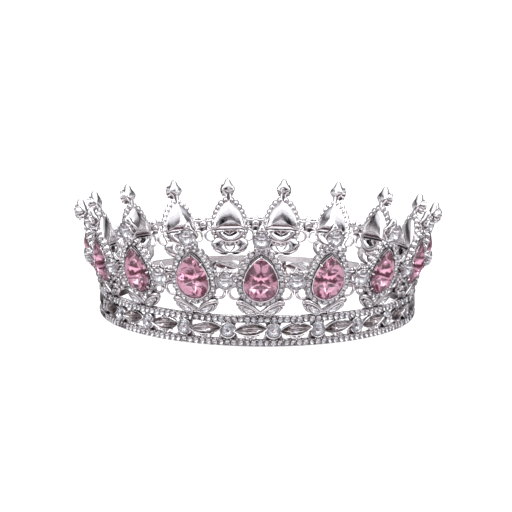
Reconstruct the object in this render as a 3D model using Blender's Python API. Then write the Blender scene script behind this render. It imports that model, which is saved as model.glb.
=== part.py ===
"""A full-round crown in cast, plated alloy: seventeen leaning crest panels on a stone-set band.

Units are metres and +Z is up. The crown stands on its band, with its axis on Z, and panel 1 faces -Y.
"""

import math

import bmesh
import bpy
from mathutils import Matrix, Vector

# Driving dimensions
PANELS = 17
BAND_REPEATS = 24
GAP = 0.0003  # between pieces that touch

BAND_HEIGHT = 0.0122
RAIL_HEIGHT = 0.0031
BAND_INNER_RADIUS = 0.0650
BAND_WALL = 0.0016
BAND_STONE_RADIUS = 0.0678  # where the faces of the band's stones lie
BAND_TURN = math.radians(4.4)  # round the band, from the front to its first round stone
SEAT_ROOT = 0.0003  # how far the seats start inside the rails
SEAT_TAPER = 0.85  # of a seat's face to its root
ROUND_SEAT_RADIUS = 0.00325
MARQUISE_SEAT = (0.0136, 0.0042)  # length and width
MARQUISE_TILT = math.radians(6)
MARQUISE_RAISE = 0.0004  # of its centre over the middle of the band
CHAIN_EDGE = 0.0002  # how far a chain stays inside its rail's edges

PANEL_LEAN = math.radians(13.5)
PANEL_RADIUS = 0.0662  # of the middle of a panel's foot
PLATE = 0.0013  # thickness of the cast plates
HALO_FRONT = 0.0013  # height of the halo's front over the middle of the plate

PEAR_RADIUS = 0.0065  # a pear stone is 13 mm wide
PEAR_LENGTH = 0.018
PEAR_BOTTOM = 0.0059  # height of its round end over the foot, along the panel
PEAR_GIRDLE = 0.0016  # heights over the middle of the plate
PEAR_FACE = 0.0038
HALO_RADIUS = 0.0091
HALO_CENTRE = 0.0129
HALO_SIDE_RADIUS = 0.0185
SINK = 0.0002  # how far joined shapes run into each other
CLEARANCE = 0.001  # how far a cutter runs past what it cuts
PEAR_MIDDLE = 0.0139  # the height that its facets close on
PEAR_BASE = 0.0001
PEAR_BASE_SHARE, PEAR_TABLE_SHARE = 0.86, 0.62  # of its girdle
POCKET_FLOOR = -0.0003
DISH_DEPTH = 0.0016  # how far the dish behind a pear stone stands out
DISH_GROW = 0.0008  # past the pear stone's outline
DISH_SHARE = 0.55  # of its back to its rim
EYE_HALF, EYE_LEVEL, EYE_BOTTOM = 0.00306, 0.0079, 0.0064  # the opening under the dish

NECK_HALF = 0.0016
NECK_ROOT = 0.0243
NECK_BOTTOM = 0.0263
NECK_TOP = 0.0288
TIP = 0.0369
DROP_SHOULDERS = ((0.0020, 0.0340), (0.0011, 0.0357))  # below its tip
DROP_SHARE = 0.75  # of its thin faces
FINIAL_CENTRE = 0.0313
CUP_RADIUS = 0.0035
CUP_FRONT = 0.0031
CUP_RIM = 0.0012
CUP_BASE_SHARE = 0.7
FINIAL_TABLE_SHARE = 0.6
CUP_WALL = 0.0004
CUP_POCKET = 0.0009
FINIAL_FACE = 0.0046
DROP_BACK = -0.0011  # the pointed drop is thicker than the plates
DROP_FRONT = 0.0026

FOOT_HALF = 0.0052
LEAF_TIP = 0.0089
LEAF_TOP = 0.0070
LEAF_EDGE = (0.0031, 0.0051)  # the ends of a leaf's blunt tip, along the panel
LEAF_SHOULDER = 0.0075
HEART_OPENING = ((0, 0.0009), (0.0028, 0.0034), (0.0025, 0.0048), (-0.0025, 0.0048), (-0.0028, 0.0034))
SCROLL_CENTRE = (0.0093, 0.0090)
SCROLL_RADIUS = 0.0031
SCROLL_WIRE = 0.00105
SCROLL_REACH = 112  # degrees each way from its outermost point

LINK_CENTRE = 0.0147
LINK_SEAT_RADIUS = 0.0034
LINK_RIM = 0.0030
LINK_FACE = 0.0043
LINK_HALF = 0.0036
LINK_OVERRUN = 0.0008  # on the side of its own panel
LINK_HALF_HEIGHT = 0.0018
LINK_SHARES = (0.6, 0.62)  # of the seat's base and face to its rim
SPIKE_HALF = 0.0017
SPIKE_HEIGHT = 0.0027
LINK_SET_BACK = 0.00035
SPIKE_TIP = 0.0196

HALF_PITCH = math.pi / PANELS
FOOT_HEIGHT = BAND_HEIGHT + GAP + PLATE / 2 * math.sin(PANEL_LEAN)

SILVER = ("bright_silver_plate", (0.86, 0.85, 0.86, 1), 0.16, 1.0)
CLEAR = ("clear_crystal", (0.93, 0.94, 0.97, 1), 0.05, 0.0)
ROSE = ("rose_crystal", (0.80, 0.36, 0.48, 1), 0.06, 0.0)


def material(name, colour, roughness, metallic):
    """A material by name, made the first time that it is asked for."""
    found = bpy.data.materials.get(name)
    if found:
        return found
    made = bpy.data.materials.new(name)
    made.use_nodes = True
    made.diffuse_color = colour
    shader = made.node_tree.nodes["Principled BSDF"]
    shader.inputs["Base Color"].default_value = colour
    shader.inputs["Roughness"].default_value = roughness
    shader.inputs["Metallic"].default_value = metallic
    return made


def add_object(name, mesh, finish):
    """Links an object with its finish, shaded smooth except across sharp edges."""
    mesh.shade_smooth()
    mesh.set_sharp_from_angle(angle=math.radians(35))
    mesh.materials.clear()
    mesh.materials.append(material(*finish))
    made = bpy.data.objects.new(name, mesh)
    bpy.context.scene.collection.objects.link(made)
    return made


def arc(centre, radius, start, end, steps):
    """Points along an arc, from the start to the end angle in degrees, both included."""
    angles = [math.radians(start + (end - start) * i / steps) for i in range(steps + 1)]
    return [(centre[0] + radius * math.cos(a), centre[1] + radius * math.sin(a)) for a in angles]


def mirrored(right):
    """A whole outline from its right half, which runs from the bottom to the top."""
    left = [(-x, y) for x, y in reversed(right) if x > 0]
    return right + left


def grown_circle_and_sides(centre, radius, side_radius, top, steps, side_steps):
    """A right half outline: a round end below, and a longer arc that leans in above it, up to a height."""
    offset = side_radius - radius
    end = math.degrees(math.asin((top - centre) / side_radius))
    lower = arc((0, centre), radius, -90, 0, steps)
    return lower + arc((-offset, centre), side_radius, 0, end, side_steps)[1:]


def pear_outline(grow, steps=4, side_steps=2):
    """A pear stone's outline, moved out by some distance: its two side arcs meet in the point."""
    centre = PEAR_BOTTOM + PEAR_RADIUS
    reach = PEAR_LENGTH - PEAR_RADIUS
    offset = (reach**2 - PEAR_RADIUS**2) / (2 * PEAR_RADIUS)
    side_radius = PEAR_RADIUS + offset + grow
    top = centre + math.sqrt(side_radius**2 - offset**2)
    right = grown_circle_and_sides(centre, PEAR_RADIUS + grow, side_radius, top, steps, side_steps)
    return mirrored(right[:-1] + [(0, top)])


def scaled(outline, share, centre):
    """An outline shrunk towards a height on the panel's middle line."""
    return [(x * share, centre + (y - centre) * share) for x, y in outline]


def loft(rings):
    """A closed mesh through outlines at heights, each (outline, height), drawn counterclockwise."""
    made = bmesh.new()
    rows = [[made.verts.new((x, y, height)) for x, y in outline] for outline, height in rings]
    count = len(rows[0])
    for low, high in zip(rows, rows[1:]):
        for i in range(count):
            j = (i + 1) % count
            made.faces.new((low[i], low[j], high[j], high[i]))
    made.faces.new(reversed(rows[0]))
    made.faces.new(rows[-1])
    mesh = bpy.data.meshes.new("shape")
    made.to_mesh(mesh)
    made.free()
    return mesh


def prism(outline, low, high):
    return loft([(outline, low), (outline, high)])


def combined(solids, cutters=()):
    """One mesh: the first solid joined with the others, then cut by the cutters."""
    steps = [(mesh, "UNION") for mesh in solids[1:]] + [(mesh, "DIFFERENCE") for mesh in cutters]
    base = bpy.data.objects.new("base", solids[0])
    bpy.context.scene.collection.objects.link(base)
    helpers = []
    for mesh, operation in steps:
        helper = bpy.data.objects.new("helper", mesh)
        bpy.context.scene.collection.objects.link(helper)
        helpers.append(helper)
        modifier = base.modifiers.new(operation, "BOOLEAN")
        modifier.object = helper
        modifier.operation = operation
        modifier.solver = "EXACT"
    bpy.context.view_layer.update()
    evaluated = base.evaluated_get(bpy.context.evaluated_depsgraph_get())
    result = bpy.data.meshes.new_from_object(evaluated)
    for helper in [base, *helpers]:
        bpy.data.objects.remove(helper)
    return result


def station(angle, radius=PANEL_RADIUS):
    """Where a panel stands: X along the crown's edge, Y up the leaning panel, Z outward through it."""
    turn = Matrix.Rotation(angle, 4, "Z")
    lean = Matrix.Rotation(math.pi / 2 + PANEL_LEAN, 4, "X")
    return turn @ Matrix.Translation((0, -radius, FOOT_HEIGHT)) @ lean


def place(made, angle):
    """Puts a panel's piece at its station, under the crown's own empty."""
    made.rotation_euler = (math.pi / 2 + PANEL_LEAN, 0, angle)
    made.location = (
        PANEL_RADIUS * math.sin(angle),
        -PANEL_RADIUS * math.cos(angle),
        FOOT_HEIGHT,
    )


def moved(mesh, matrix):
    mesh.transform(matrix)
    return mesh


def leaf_plate():
    """The foot of a panel: two leaves that meet over the band, with the opening between them."""
    outline = [
        (FOOT_HALF, 0),
        (LEAF_TIP, LEAF_EDGE[0]),
        (LEAF_TIP, LEAF_EDGE[1]),
        (LEAF_SHOULDER, LEAF_TOP),
    ]
    whole = outline + [(-x, y) for x, y in reversed(outline)]
    return combined(
        [prism(whole, -PLATE / 2, PLATE / 2)],
        [prism(HEART_OPENING, -PLATE, PLATE)],
    )


def scroll(side):
    """A C-shaped wire from a leaf's tip round to the halo's edge."""
    outer = arc(SCROLL_CENTRE, SCROLL_RADIUS, -SCROLL_REACH, SCROLL_REACH, 5)
    inner = arc(SCROLL_CENTRE, SCROLL_RADIUS - SCROLL_WIRE, SCROLL_REACH, -SCROLL_REACH, 5)
    outline = outer + inner
    if side < 0:
        outline = [(-x, y) for x, y in reversed(outline)]
    return prism(outline, -PLATE / 2, PLATE / 2 - SINK)


def finial():
    """The neck, the pointed drop and the cup that stand on a halo."""
    right = [
        (NECK_HALF, NECK_ROOT),
        (NECK_HALF, NECK_TOP),
        (CUP_RADIUS, FINIAL_CENTRE - SINK),
        *DROP_SHOULDERS,
        (0, TIP),
    ]
    outline = mirrored(right)
    thin = scaled(outline, DROP_SHARE, FINIAL_CENTRE)
    drop = loft([(thin, DROP_BACK), (outline, -PLATE / 4), (outline, PLATE), (thin, DROP_FRONT)])
    rim = arc((0, FINIAL_CENTRE), CUP_RADIUS, 0, 315, 7)
    base = scaled(rim, CUP_BASE_SHARE, FINIAL_CENTRE)
    cup = loft([(base, -PLATE / 2 + SINK), (rim, CUP_FRONT - CUP_RIM), (rim, CUP_FRONT)])
    return [drop, cup]


def link():
    """The joint to the next panel: a bridge, a spike and a seat with its round stone."""
    bridge = [
        (-LINK_HALF - LINK_OVERRUN, LINK_CENTRE - LINK_HALF_HEIGHT),
        (LINK_HALF, LINK_CENTRE - LINK_HALF_HEIGHT),
        (LINK_HALF, LINK_CENTRE + LINK_HALF_HEIGHT),
        (SPIKE_HALF, SPIKE_TIP - SPIKE_HEIGHT),
        (0, SPIKE_TIP),
        (-SPIKE_HALF, SPIKE_TIP - SPIKE_HEIGHT),
        (-LINK_HALF - LINK_OVERRUN, LINK_CENTRE + LINK_HALF_HEIGHT),
    ]
    rim = arc((0, LINK_CENTRE), LINK_SEAT_RADIUS, 0, 315, 7)
    base, face = (scaled(rim, share, LINK_CENTRE) for share in LINK_SHARES)
    seat = loft([(base, -PLATE / 2 + SINK), (rim, LINK_RIM), (face, LINK_FACE)])
    corner = PANEL_RADIUS / math.cos(HALF_PITCH) - LINK_SET_BACK
    to_panel = station(0).inverted() @ station(HALF_PITCH, corner)
    return [moved(prism(bridge, -PLATE / 2, PLATE / 2), to_panel), moved(seat, to_panel)]


def crest_panel_mesh():
    """One cast panel, with the pockets of its pear stone and its finial stone."""
    halo = mirrored(
        grown_circle_and_sides(
            HALO_CENTRE, HALO_RADIUS, HALO_SIDE_RADIUS, NECK_BOTTOM, 5, 2
        )
    )
    body = prism(halo, -PLATE / 2, HALO_FRONT)
    back = pear_outline(DISH_GROW, 3, 1)
    dish = loft(
        [
            (scaled(back, DISH_SHARE, PEAR_MIDDLE), -PLATE / 2 - DISH_DEPTH),
            (back, -PLATE / 2 + SINK),
        ]
    )
    pocket = prism(pear_outline(GAP), POCKET_FLOOR, HALO_FRONT + CLEARANCE)
    eye = arc((0, EYE_LEVEL), EYE_HALF, 0, 180, 4) + [(0, EYE_BOTTOM)]
    opening = prism(eye, -PLATE / 2 - DISH_DEPTH - CLEARANCE, CLEARANCE)
    cup_hole = arc((0, FINIAL_CENTRE), CUP_RADIUS - CUP_WALL, 0, 315, 7)
    cup_pocket = prism(cup_hole, CUP_FRONT - CUP_POCKET, CUP_FRONT + CLEARANCE)
    return combined(
        [body, leaf_plate(), scroll(1), scroll(-1), *finial(), dish, *link()],
        [pocket, opening, cup_pocket],
    )


def pear_stone_mesh():
    """A pear stone: a bevelled crown over its girdle, and a short pavilion in the pocket."""
    girdle = pear_outline(0)
    return loft(
        [
            (scaled(girdle, PEAR_BASE_SHARE, PEAR_MIDDLE), PEAR_BASE),
            (girdle, PEAR_GIRDLE),
            (scaled(girdle, PEAR_TABLE_SHARE, PEAR_MIDDLE), PEAR_FACE),
        ]
    )


def finial_stone_mesh():
    """A round stone in a finial's cup."""
    girdle = arc((0, FINIAL_CENTRE), CUP_RADIUS - CUP_WALL - GAP, 0, 315, 7)
    return loft(
        [
            (girdle, CUP_FRONT - CUP_POCKET + GAP),
            (girdle, CUP_FRONT),
            (scaled(girdle, FINIAL_TABLE_SHARE, FINIAL_CENTRE), FINIAL_FACE),
        ]
    )


def ring_mesh(inner, outer, low, high, sides):
    """A plain ring with a rectangular section."""
    section = [(inner, low), (outer, low), (outer, high), (inner, high)]
    made = bmesh.new()
    rows = []
    for i in range(sides):
        a = 2 * math.pi * (i + 0.5) / sides
        rows.append([made.verts.new((r * math.cos(a), r * math.sin(a), z)) for r, z in section])
    for i in range(sides):
        here, after = rows[i], rows[(i + 1) % sides]
        for j in range(4):
            k = (j + 1) % 4
            made.faces.new((here[j], here[k], after[k], after[j]))
    bmesh.ops.recalc_face_normals(made, faces=made.faces)
    mesh = bpy.data.meshes.new("ring")
    made.to_mesh(mesh)
    made.free()
    return mesh


def marquise_outline(length, width, steps=3):
    """Two equal arcs that meet in a point at each end."""
    radius = (length**2 + width**2) / (4 * width)
    half = math.degrees(math.asin(length / 2 / radius))
    upper = arc((0, width / 2 - radius), radius, 90 - half, 90 + half, steps)
    return upper[:-1] + [(-x, -y) for x, y in upper[:-1]]


def band_mesh():
    """Two rails joined by round and marquise seats, each with its stone."""
    sides = 2 * BAND_REPEATS
    outer = BAND_INNER_RADIUS + BAND_WALL
    upper = ring_mesh(BAND_INNER_RADIUS, outer, BAND_HEIGHT - RAIL_HEIGHT, BAND_HEIGHT, sides)
    lower = ring_mesh(BAND_INNER_RADIUS, outer, 0, RAIL_HEIGHT, sides)
    root = BAND_INNER_RADIUS + SEAT_ROOT
    disc = arc((0, 0), ROUND_SEAT_RADIUS, 22.5, 337.5, 7)
    marquise = marquise_outline(*MARQUISE_SEAT)
    seats = []
    for i in range(BAND_REPEATS):
        for outline, offset, tilt, rise in (
            (disc, 0, 0, 0),
            (marquise, 0.5, MARQUISE_TILT, MARQUISE_RAISE),
        ):
            angle = BAND_TURN + 2 * math.pi * (i + offset) / BAND_REPEATS
            turn = Matrix.Rotation(angle, 4, "Z")
            middle = Matrix.Translation((0, 0, BAND_HEIGHT / 2 + rise))
            stand = middle @ Matrix.Rotation(math.pi / 2, 4, "X")
            face = scaled(outline, SEAT_TAPER, 0)
            seat = loft([(outline, root), (face, BAND_STONE_RADIUS)])
            seats.append(moved(seat, turn @ stand @ Matrix.Rotation(tilt, 4, "Z")))
    return combined([lower, upper, *seats])


def build():
    for old in list(bpy.data.objects):
        bpy.data.objects.remove(old)
    crown = bpy.data.objects.new("crown", None)
    bpy.context.scene.collection.objects.link(crown)

    sides = 2 * BAND_REPEATS
    chain_inner = BAND_INNER_RADIUS + BAND_WALL + GAP
    pieces = [add_object("band", band_mesh(), SILVER)]
    for name, low in (("lower", 0), ("upper", BAND_HEIGHT - RAIL_HEIGHT)):
        chain = ring_mesh(
            chain_inner,
            BAND_STONE_RADIUS,
            low + CHAIN_EDGE,
            low + RAIL_HEIGHT - CHAIN_EDGE,
            sides,
        )
        pieces.append(add_object(f"{name}_rhinestone_chain", chain, CLEAR))

    shared = (
        ("crest_panel", crest_panel_mesh(), SILVER),
        ("pear_stone", pear_stone_mesh(), ROSE),
        ("finial_stone", finial_stone_mesh(), CLEAR),
    )
    for i in range(PANELS):
        for name, mesh, finish in shared:
            made = add_object(f"{name}_{i + 1:02d}", mesh, finish)
            place(made, 2 * HALF_PITCH * i)
            pieces.append(made)
    for piece in pieces:
        piece.parent = crown


build()
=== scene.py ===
"""The crown's looks: castings, faceted stones and a pale studio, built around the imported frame."""

import math

import bmesh
import bpy
import numpy as np
from mathutils import Matrix, Vector


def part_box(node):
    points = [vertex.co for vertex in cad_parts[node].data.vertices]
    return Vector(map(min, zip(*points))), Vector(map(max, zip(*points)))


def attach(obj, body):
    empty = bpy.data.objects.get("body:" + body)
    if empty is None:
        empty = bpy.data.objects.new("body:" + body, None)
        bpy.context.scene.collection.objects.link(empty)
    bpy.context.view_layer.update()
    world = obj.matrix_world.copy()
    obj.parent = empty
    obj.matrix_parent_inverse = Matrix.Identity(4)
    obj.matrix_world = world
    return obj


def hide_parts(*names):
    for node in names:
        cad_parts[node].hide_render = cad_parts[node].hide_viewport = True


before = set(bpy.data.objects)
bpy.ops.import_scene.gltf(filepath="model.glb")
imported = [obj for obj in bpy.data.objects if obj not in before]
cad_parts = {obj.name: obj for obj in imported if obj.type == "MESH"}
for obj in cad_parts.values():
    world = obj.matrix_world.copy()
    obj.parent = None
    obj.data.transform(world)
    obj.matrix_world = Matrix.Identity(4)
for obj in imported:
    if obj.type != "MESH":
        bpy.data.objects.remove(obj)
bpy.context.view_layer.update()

MM = 0.001  # shapes are modelled in millimetres and written in metres
WELD = 1e-7  # joins the two halves of a stone along its girdle

# ---------------------------------------------------------------- driving dimensions, in millimetres

PANELS = 17
HALF_PITCH = math.pi / PANELS
LEAN = math.radians(13.5)  # of a crest panel, outward
PLATE = 1.3  # thickness of the cast plates
PANEL_RADIUS = 66.2  # of the middle of a panel's foot
FOOT_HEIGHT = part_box("crest_panel_01")[0].z / MM + PLATE / 2 * math.sin(LEAN)

BAND_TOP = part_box("band")[1].z / MM
BAND_INNER = 65.0
RAIL_BACK = 66.7  # outer face of the rails, behind their stones
RAIL_HEIGHT = 3.1
STONE_FACE = 67.75  # where the faces of the band's stones lie
RAIL_STONES = 168
REPEATS = 24  # of the band's pattern, each a round and a marquise stone
BAND_TURNED = Matrix.Rotation(math.radians(4.4), 4, "Z")  # from the front to the first round stone

PEAR_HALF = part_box("pear_stone_01")[1].x / MM
PEAR_LENGTH = 18.0
PEAR_BOTTOM = 5.9
PEAR_CENTRE = PEAR_BOTTOM + PEAR_HALF  # of its round end
PEAR_CULET = PEAR_CENTRE + 1.4  # where its facets meet, a little above the round end's centre
PEAR_GIRDLE = 1.6
PEAR_LEVELS = (-2.3, PEAR_GIRDLE, 3.8)  # of the back's point, the girdle and the table
PEAR_CUT = (0.5, 0.78, 0.3)  # the shares of the girdle at the table, the kites and the lower halves
CLAW_STEPS = 360
CLAWS = (0, 45, 95, 140, 180, 220, 265, 315)  # where the claws stand, in steps round the outline

HALO_RADIUS = 7.85  # of the line of the halo's stones round the pear's lower end
HALO_CENTRE = 12.6
HALO_SIDE = 19.2
HALO_SPACING = 2.52
HALO_STONES_EACH_SIDE = 10
HALO_STONE = 1.12  # radius
HALO_BEAD = 0.33
HALO_BEAD_ROWS = (-0.72, 0.78)  # inside and outside the line of the stones
SHOULDER_STONE = (1.35, 26.1)  # the pair above the pear stone's tip
FLANGE = (-0.55, 0.6)  # back and front of the plate under the halo
FLANGE_MIDDLE = (0, 14.5)
FLANGE_SCALLOP = 1.55  # radius of the plate round each stone
HALO_GIRDLE = FLANGE[1] + 0.6
STONE_PLAY = 0.03  # between a small stone and its collar

EYE_TOP = 11.3  # below this line the dish behind the pear stone is open
EYE_HALF = 3.4  # half the opening's width
EYE_MIDDLE = (0, 9.7)
EYE_ARCH = (9.8, 1.3)  # the foot and the rise of its upper edge
EYE_VEE = (8.1, 1.7)  # the foot and the rise of its lower edge
EYE_PLATE = (-1.7, -1.35)  # the back and front of the plate round it
EYE_DOME = 0.75
DISH_GROW = 1.7  # past the pear stone's outline
DISH_MIDDLE = (0, 16.6)
DISH_RIM = FLANGE[0] + 0.1  # where it meets the flange
DISH_DEPTH = 2.5
DISH_WALL = 0.25
SHIELD_MIDDLE = (0, 3.4)
SHIELD_BACK = -0.6
SHIELD_DEPTH = 1.1
LEAF_STONE = (6.6, 2.9)  # length and width
LEAF_SEAT = Matrix.Translation((4.35, 1.75, 0)) @ Matrix.Rotation(math.radians(29), 4, "Z")
FINIAL_CENTRE = 31.3
LINK_CENTRE = 14.7
ROUND_STONE = 3.1  # radius of the finial's and the link's stones
ROUND_CUT = (0.6, 0.84, 0.35)  # the same shares as the pear stone's
CUP_RIM = 3.2
FINIAL_LEVELS = (CUP_RIM - 2.2, CUP_RIM - 0.05, 4.25)  # of its stone, as PEAR_LEVELS
LINK_LEVELS = (CUP_RIM - 2.2, CUP_RIM - 0.05, 4.2)
LINK_RADIUS = PANEL_RADIUS / math.cos(HALF_PITCH) - 0.35  # just inside where two panels' planes meet
SCROLL_CENTRE = (9.3, 9.0)
SCROLL_RADIUS = 2.62
SCROLL_CURL = 1.25  # how far its last stretch closes in
SCROLL_SWEEP = (-120, 215)  # degrees

RAIL_STONE = 1.16  # radius
RAIL_GIRDLE = STONE_FACE - 0.5
BAND_STONE = 2.75  # radius
BAND_GIRDLE = STONE_FACE - 0.75
BAND_MARQUISE = (12.4, 4.3)  # length and width
MARQUISE_RIM = STONE_FACE - 0.7
MARQUISE_TILT = math.radians(6)
MARQUISE_RAISE = 0.5

CHANCE = np.random.default_rng(17)  # how each small stone happens to sit
STONE_TILT = math.radians(14)  # at most, of a small stone
GEM_TILT = math.radians(3.5)  # at most, of a large one
SHARP_EDGE = math.radians(38)
RECESS_REACH = 0.0014  # metres: how far a neighbour may stand for painted shade to darken the plating between

# the studio, in metres, watts and, for the lens, millimetres
CAMERA_DISTANCE = 0.5142
CAMERA_ELEVATION = math.radians(10.16)
CAMERA_TURN = math.radians(-0.96)
CAMERA_ROLL = math.radians(0.63)
LOOK_AT = Vector((-0.00076, 0, 0.0231))
LENS, SENSOR = 83.9, 36
SOFTBOXES = (
    ("overhead", (0.0, -0.3, 1.1), (1.6, 1.1), 11),
    ("left", (-1.1, -0.7, 0.6), (0.35, 0.9), 3),
    ("right", (1.2, -0.5, 0.55), (0.3, 0.9), 2.2),
    ("back", (0.2, 1.2, 0.8), (0.9, 0.4), 4),
)
FLOOR_PROFILE = [(0.01, 0), (3.0, 0), (4.0, 0.15), (4.7, 0.7), (5.0, 1.6), (5.0, 4.0)]
FLOOR_GLOW = 0.78
DOORWAY = Vector((0, -1, 0.27)).normalized()  # where the room is dark in front of the crown
DOORWAY_EDGE = (math.radians(17), math.radians(9))  # from its middle: where it starts and is darkest


# ---------------------------------------------------------------- shapes


def loft(rings, start=None, end=None):
    """A closed shape through rings of equal length; each end is a flat cap, or a point if one is given."""
    rings = np.asarray(rings, float)
    rows, count = rings.shape[:2]
    points = list(rings.reshape(-1, 3))
    faces = []
    for row in range(rows - 1):
        for i in range(count):
            a, b = row * count + i, row * count + (i + 1) % count
            faces.append((a, b, b + count, a + count))
    for pole, row in ((start, 0), (end, rows - 1)):
        ring = [row * count + i for i in range(count)]
        if row == 0:
            ring.reverse()
        if pole is None:
            faces.append(tuple(ring))
        else:
            points.append(pole)
            tip = len(points) - 1
            faces += [(ring[i], ring[(i + 1) % count], tip) for i in range(count)]
    return np.array(points), faces


def cyclic(rings):
    """A closed shape whose last ring joins its first, as a frame's section carried round it."""
    rings = np.asarray(rings, float)
    rows, count = rings.shape[:2]
    faces = []
    for row in range(rows):
        for i in range(count):
            j = (i + 1) % count
            after = (row + 1) % rows
            faces.append(
                (row * count + i, row * count + j, after * count + j, after * count + i)
            )
    return rings.reshape(-1, 3), faces


def raised(outline, height):
    """A flat outline as points at one height."""
    outline = np.asarray(outline, float)
    return np.column_stack([outline, np.full(len(outline), height)])


def mirrored_outline(right):
    """A closed outline from the points of its right side, bottom to top."""
    left = [(-x, y) for x, y in reversed(right) if x]
    return np.array([*right, *left], float)


def circle(radius, steps, centre=(0, 0)):
    a = 2 * math.pi * np.arange(steps) / steps
    return np.column_stack([centre[0] + radius * np.cos(a), centre[1] + radius * np.sin(a)])


def grown(outline, distance):
    """A counterclockwise outline moved outward along its own normals."""
    outline = np.asarray(outline, float)
    along = np.roll(outline, -1, 0) - np.roll(outline, 1, 0)
    normal = np.column_stack([along[:, 1], -along[:, 0]])
    normal /= np.linalg.norm(normal, axis=1)[:, None]
    return outline + distance * normal


def scaled(outline, share, centre):
    return np.asarray(centre) + (np.asarray(outline) - np.asarray(centre)) * share


def resampled(points, count):
    """A closed line of points, spaced evenly along it, from its first point on."""
    points = np.vstack([points, points[:1]])
    steps = np.linalg.norm(np.diff(points, axis=0), axis=1)
    reach = np.concatenate([[0], np.cumsum(steps)])
    wanted = np.linspace(0, reach[-1], count, endpoint=False)
    return np.column_stack([np.interp(wanted, reach, column) for column in points.T])


def rays(outline, centre, count):
    """An outline that can be seen whole from its centre, at even angles round it."""
    away = np.asarray(outline) - np.asarray(centre)
    angle = np.arctan2(away[:, 1], away[:, 0])
    order = np.argsort(angle)
    wanted = np.linspace(-math.pi, math.pi, count, endpoint=False)
    radius = np.interp(
        wanted, angle[order], np.linalg.norm(away, axis=1)[order], period=2 * math.pi
    )
    return np.asarray(centre) + np.column_stack([radius * np.cos(wanted), radius * np.sin(wanted)])


def smooth_line(points, count):
    """An open Catmull-Rom line through points."""
    p = np.asarray(points, float)
    p = np.vstack([2 * p[0] - p[1], p, 2 * p[-1] - p[-2]])
    found = []
    for t in np.linspace(0, len(p) - 3, count):
        i = min(int(t), len(p) - 4)
        f = t - i
        a, b, c, d = p[i : i + 4]
        found.append(
            0.5
            * (
                2 * b
                + (c - a) * f
                + (2 * a - 5 * b + 4 * c - d) * f**2
                + (3 * b - a - 3 * c + d) * f**3
            )
        )
    return np.array(found)


def pillow(outline, low, high, edge):
    """A plate with rounded edges."""
    inset = grown(outline, -edge)
    middle = grown(outline, -edge * 0.3)
    return loft(
        [
            raised(inset, low),
            raised(middle, low + edge * 0.3),
            raised(outline, low + edge),
            raised(outline, high - edge),
            raised(middle, high - edge * 0.3),
            raised(inset, high),
        ]
    )


def frame_shape(outer, inner, low, high, edge):
    """A flat frame between two outlines of equal length, with its edges rounded."""
    return cyclic(
        [
            raised(grown(outer, -edge), low),
            raised(outer, low + edge),
            raised(outer, high - edge),
            raised(grown(outer, -edge), high),
            raised(grown(inner, edge * 0.5), high),
            raised(inner, high - edge * 0.5),
            raised(inner, low),
        ]
    )


def sweep(line, radii, sides, depth=1.0, up=(0, 0, 1)):
    """A rounded wire along a line of points; radii run evenly along it, and depth scales it along up."""
    line = np.asarray(line, float)
    radii = np.interp(np.linspace(0, 1, len(line)), np.linspace(0, 1, len(radii)), radii)
    along = np.gradient(line, axis=0)
    along /= np.linalg.norm(along, axis=1)[:, None]
    side = np.cross(along, up)
    side /= np.linalg.norm(side, axis=1)[:, None]
    lift = np.cross(side, along)
    a = 2 * math.pi * np.arange(sides) / sides
    wide = np.cos(a)[None, :, None] * side[:, None]
    deep = depth * np.sin(a)[None, :, None] * lift[:, None]
    rings = line[:, None] + radii[:, None, None] * (wide + deep)
    before, after = -along[0] * radii[0], along[-1] * radii[-1]
    start = line[0] + before * 0.4 + (rings[0] - line[0]) * 0.75
    end = line[-1] + after * 0.4 + (rings[-1] - line[-1]) * 0.75
    return loft([start, *rings, end], line[0] + before * 0.7, line[-1] + after * 0.7)


def bead(centre, radius):
    """A small ball."""
    rings = []
    for tilt in (-60, -30, 0, 30, 60):
        t = math.radians(tilt)
        ring = raised(circle(radius * math.cos(t), 8), radius * math.sin(t))
        rings.append(ring + np.asarray(centre))
    top = np.array([0, 0, radius])
    return loft(rings, centre - top, centre + top)


def turned(profile, centre, steps):
    """A profile of (radius, height) turned round an upright axis; it starts and ends on the axis."""
    rings = [raised(circle(r, steps, centre), z) for r, z in profile[1:-1]]
    start = (*centre, profile[0][1])
    end = (*centre, profile[-1][1])
    return loft(rings, start, end)


def ring_shape(profile, centre, steps):
    """A closed profile of (radius, height), counterclockwise, carried round an upright axis."""
    return cyclic([raised(circle(r, steps, centre), z) for r, z in profile])


def column(stations, steps=24):
    """An upright body: (height, half width, half depth, middle depth) up Y, with rounded ends."""
    a = 2 * math.pi * np.arange(steps) / steps
    rings = []
    for y, half_x, half_z, middle in stations:
        depth = middle + half_z * np.cos(a)
        rings.append(np.column_stack([half_x * np.sin(a), np.full(steps, y), depth]))
    y, _, half_z, middle = stations[0]
    start = (0, y - half_z * 0.4, middle)
    y, _, half_z, middle = stations[-1]
    return loft(rings, start, (0, y + half_z * 0.5, middle))


def mirrored(shape):
    """A shape's left-hand twin."""
    points, faces = shape
    return points * (-1, 1, 1), [tuple(reversed(face)) for face in faces]


def moved(shape, matrix):
    points, faces = shape
    turn, shift = np.array(matrix.to_3x3()), np.array(matrix.translation)
    return points @ turn.T + shift, faces


def moved_stone(stone, matrix):
    """The same for a stone, which has its front's and its back's faces apart."""
    points, front, foiled = stone
    return moved((points, None), matrix)[0], front, foiled


def both_sides(shapes):
    return [*shapes, *(mirrored(shape) for shape in shapes)]


# ---------------------------------------------------------------- outlines


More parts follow.
